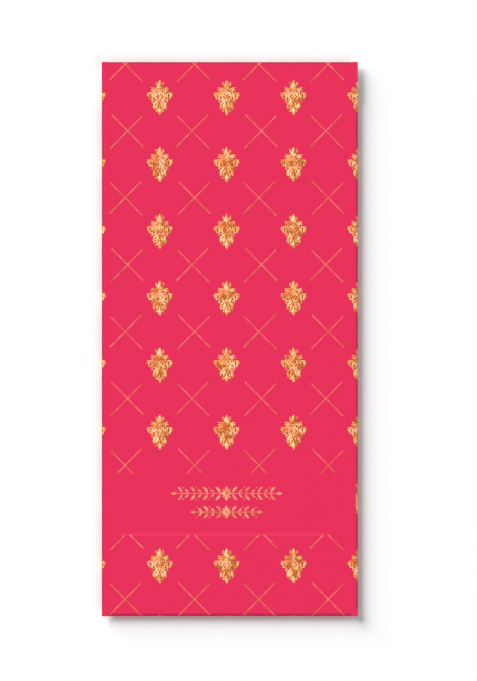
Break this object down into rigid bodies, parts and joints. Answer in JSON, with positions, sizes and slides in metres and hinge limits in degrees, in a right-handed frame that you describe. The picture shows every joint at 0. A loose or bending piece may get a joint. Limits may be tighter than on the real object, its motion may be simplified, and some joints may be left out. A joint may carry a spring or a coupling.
{
  "type": "gift money envelope",
  "caption": "Tall flat pocket envelope of crimson board with a lattice of gold foil medallions and crosses, a glued side seam and bottom flap, and a hinged closing flap with a taped seal.",
  "frame": {"origin": "on the table, under the middle of the closed envelope, which lies on its back with its front up", "axes": "+Y along the envelope to its top edge, where the closing flap hinges; +X to the right of the front; +Z out of the front"},
  "size_m": [0.085, 0.184, 0.0025],
  "materials": {
    "printed_board": "matte",
    "gold_foil": "satin",
    "paste": "matte",
    "adhesive_film": "satin",
    "release_paper": "satin"
  },
  "bodies": {
    "pocket": {"front_panel": "printed_board", "back_panel": "printed_board", "side_seam_flap": "printed_board", "bottom_flap": "printed_board", "left_fold": "printed_board", "right_fold": "printed_board", "bottom_fold": "printed_board", "top_fold": "printed_board", "side_seam_glue": "paste", "bottom_flap_glue": "paste", "medallion_1_1": "gold_foil", "medallion_1_2": "gold_foil", "medallion_1_3": "gold_foil", "medallion_2_1": "gold_foil", "medallion_2_2": "gold_foil", "medallion_2_3": "gold_foil", "medallion_3_1": "gold_foil", "medallion_3_2": "gold_foil", "medallion_3_3": "gold_foil", "medallion_4_1": "gold_foil", "medallion_4_2": "gold_foil", "medallion_4_3": "gold_foil", "medallion_5_1": "gold_foil", "medallion_5_2": "gold_foil", "medallion_5_3": "gold_foil", "medallion_6_1": "gold_foil", "medallion_6_2": "gold_foil", "medallion_6_3": "gold_foil", "medallion_8_1": "gold_foil", "medallion_8_2": "gold_foil", "medallion_8_3": "gold_foil", "cross_1_1": "gold_foil", "cross_1_2": "gold_foil", "cross_1_3": "gold_foil", "cross_1_4": "gold_foil", "cross_2_1": "gold_foil", "cross_2_2": "gold_foil", "cross_2_3": "gold_foil", "cross_2_4": "gold_foil", "cross_3_1": "gold_foil", "cross_3_2": "gold_foil", "cross_3_3": "gold_foil", "cross_3_4": "gold_foil", "cross_4_1": "gold_foil", "cross_4_2": "gold_foil", "cross_4_3": "gold_foil", "cross_4_4": "gold_foil", "cross_5_1": "gold_foil", "cross_5_2": "gold_foil", "cross_5_3": "gold_foil", "cross_5_4": "gold_foil"},
    "flap": {"closing_flap": "printed_board", "seal_tape": "adhesive_film"},
    "liner": {"release_liner": "release_paper"}
  },
  "joints": [
    {"name": "flap_hinge", "type": "hinge", "parent": "pocket", "child": "flap", "pos_m": [0, 0.0908, 0.0012], "axis": [1, 0, 0], "range_deg": [0, 180], "deforming": ["top_fold"]},
    {"name": "liner_peel", "type": "slide", "parent": "flap", "child": "liner", "axis": [1, 0, 0], "range_m": [0, 0.08]}
  ]
}
